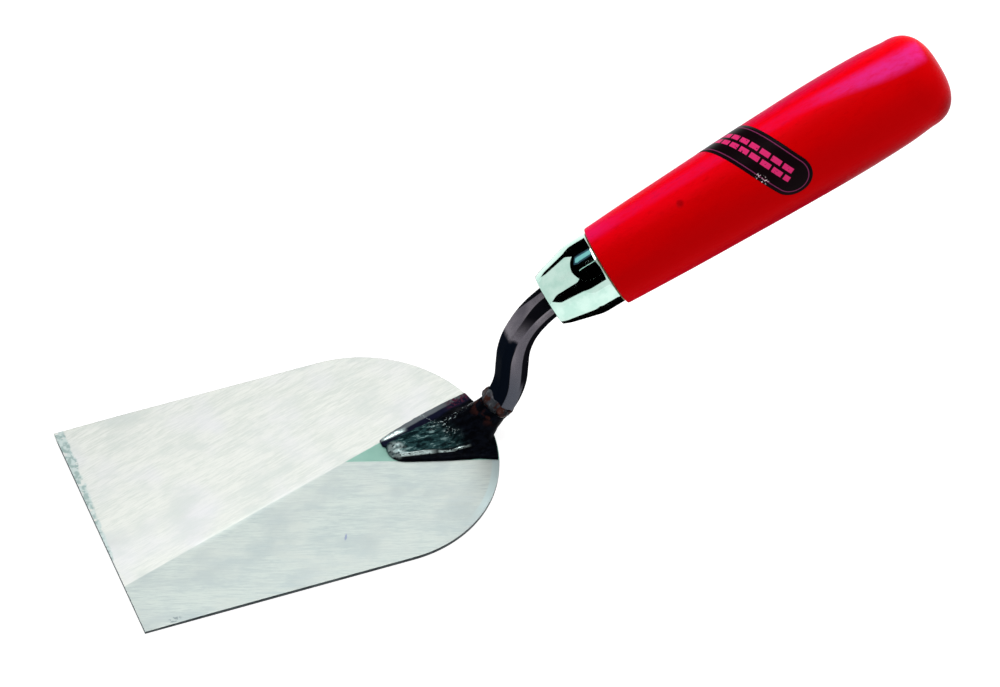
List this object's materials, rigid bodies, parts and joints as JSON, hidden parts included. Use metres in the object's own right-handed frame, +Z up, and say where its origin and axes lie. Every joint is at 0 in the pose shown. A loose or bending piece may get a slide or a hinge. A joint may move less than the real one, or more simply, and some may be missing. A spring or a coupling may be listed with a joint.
{
  "type": "brick trowel",
  "caption": "Square-front trowel: flat steel blade with a round rear, a forged foot, a goose neck, a chromed ferrule and a turned wooden handle.",
  "frame": {"origin": "on the surface the blade rests on, under the centre of the whole tool's box", "axes": "+X from the blade's front edge to the butt of the handle, +Y across the blade, +Z up from the blade's flat underside"},
  "size_m": [0.2958, 0.09, 0.1375],
  "materials": {
    "blade_steel": "satin",
    "black_forging": "gloss",
    "weld_metal": "satin",
    "neck_steel": "satin",
    "ferrule_chrome": "polished",
    "red_wood": "gloss",
    "label_film": "gloss"
  },
  "bodies": {
    "root": {"blade": "blade_steel", "foot": "black_forging", "weld_bead": "weld_metal", "neck": "neck_steel", "ferrule": "ferrule_chrome", "handle": "red_wood", "label": "label_film"}
  },
  "joints": []
}
